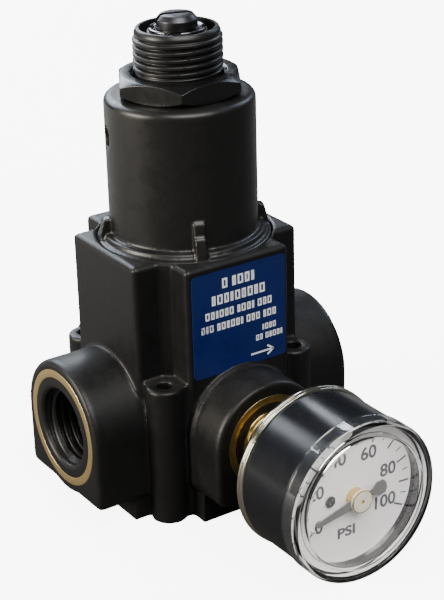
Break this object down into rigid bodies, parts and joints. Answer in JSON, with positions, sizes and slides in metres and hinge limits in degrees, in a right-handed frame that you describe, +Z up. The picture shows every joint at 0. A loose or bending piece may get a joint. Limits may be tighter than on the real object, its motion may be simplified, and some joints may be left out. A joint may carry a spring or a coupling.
{
  "type": "air pressure regulator",
  "caption": "Miniature diaphragm air pressure regulator with pipe ports, a slotted adjusting screw, a panel nut and a round dial gauge.",
  "frame": {"origin": "on the main axis, in the plane of the base", "axes": "+Z up along the adjusting screw, inlet face towards -X, outlet face towards +X, gauge dial facing -Y"},
  "size_m": [0.0524, 0.0757, 0.0837],
  "materials": {
    "body_plastic": "semi-gloss moulded black acetal",
    "bonnet_plastic": "satin moulded black acetal",
    "nut_black": "satin moulded black nylon",
    "ring_brass": "turned and slightly tarnished",
    "valve_brass": "turned",
    "screw_steel": "black oxide",
    "bright_steel": "zinc plated",
    "spring_steel": "drawn music wire",
    "plate_aluminium": "stamped",
    "seal_rubber": "moulded nitrile",
    "label_film": "printed blue film",
    "case_paint": "fine textured black paint",
    "case_ring": "bright rolled ring",
    "lens_clear": "clear moulded acrylic",
    "dial_white": "matt pale gray print",
    "pointer_gray": "matt gray paint",
    "movement_brass": "stamped",
    "tube_bronze": "drawn bronze tube"
  },
  "bodies": {
    "housing": {"valve_body": "body_plastic", "inlet_ring": "ring_brass", "outlet_ring": "ring_brass", "gauge_port_ring": "ring_brass", "rear_port_ring": "ring_brass", "rear_port_plug": "valve_brass", "label_plate": "label_film", "bonnet": "bonnet_plastic", "thrust_washer": "bright_steel", "range_spring": "spring_steel", "slip_ring": "bright_steel", "diaphragm": "seal_rubber", "valve_seat": "valve_brass", "seat_oring": "seal_rubber", "poppet_spring": "spring_steel", "bottom_plug": "body_plastic", "plug_oring": "seal_rubber", "inlet_screen": "bright_steel", "gauge_stem": "valve_brass", "gauge_case": "case_paint", "gauge_back_ring": "case_ring", "gauge_lens": "lens_clear", "gauge_dial": "dial_white", "dial_screws": "bright_steel", "bourdon_tube": "tube_bronze", "movement_back_plate": "movement_brass", "movement_front_plate": "movement_brass"},
    "nut": {"panel_nut": "nut_black"},
    "adjuster": {"adjusting_screw": "screw_steel", "screw_retainer": "bright_steel"},
    "spring_seat": {"spring_nut": "valve_brass"},
    "sensing_plate": {"diaphragm_plate": "plate_aluminium", "relief_hub": "valve_brass"},
    "valve": {"poppet": "valve_brass", "poppet_seal": "seal_rubber"},
    "indicator": {"pointer": "pointer_gray", "pointer_shaft": "bright_steel"},
    "sector": {"sector_gear": "movement_brass"},
    "link": {"tube_link": "bright_steel"}
  },
  "joints": [
    {"name": "screw_turn", "type": "hinge", "parent": "housing", "child": "adjuster", "pos_m": [0, 0, 0.07], "axis": [0, 0, 1], "range_deg": [-2161, 0]},
    {"name": "spring_nut_travel", "type": "slide", "parent": "housing", "child": "spring_seat", "axis": [0, 0, 1], "range_m": [-0.006, 0], "deforming": ["range_spring"]},
    {"name": "panel_nut_travel", "type": "slide", "parent": "housing", "child": "nut", "axis": [0, 0, 1], "range_m": [0, 0.007]},
    {"name": "diaphragm_travel", "type": "slide", "parent": "housing", "child": "sensing_plate", "axis": [0, 0, 1], "range_m": [-0.0008, 0], "stiffness_N_per_m": 2000, "deforming": ["diaphragm"]},
    {"name": "valve_lift", "type": "slide", "parent": "housing", "child": "valve", "axis": [0, 0, 1], "range_m": [-0.00085, 0], "deforming": ["poppet_spring"]},
    {"name": "pointer_sweep", "type": "hinge", "parent": "housing", "child": "indicator", "pos_m": [0, -0.045, 0.0155], "axis": [0, 1, 0], "range_deg": [-15, 219], "stiffness_Nm_per_rad": 0.0005},
    {"name": "sector_swing", "type": "hinge", "parent": "housing", "child": "sector", "pos_m": [0, -0.043, 0.02375], "axis": [0, 1, 0], "range_deg": [-41, 3]},
    {"name": "link_swing", "type": "hinge", "parent": "sector", "child": "link", "pos_m": [-0.00089, -0.0435, 0.02131], "axis": [0, 1, 0], "range_deg": [-3, 41]}
  ],
  "couplings": [
    {"joint": "screw_turn", "follows": "spring_nut_travel", "rad_per_m": 6283.2},
    {"joint": "valve_lift", "follows": "diaphragm_travel", "ratio": 1},
    {"joint": "sector_swing", "follows": "pointer_sweep", "ratio": -0.17857},
    {"joint": "link_swing", "follows": "pointer_sweep", "ratio": 0.17857}
  ]
}
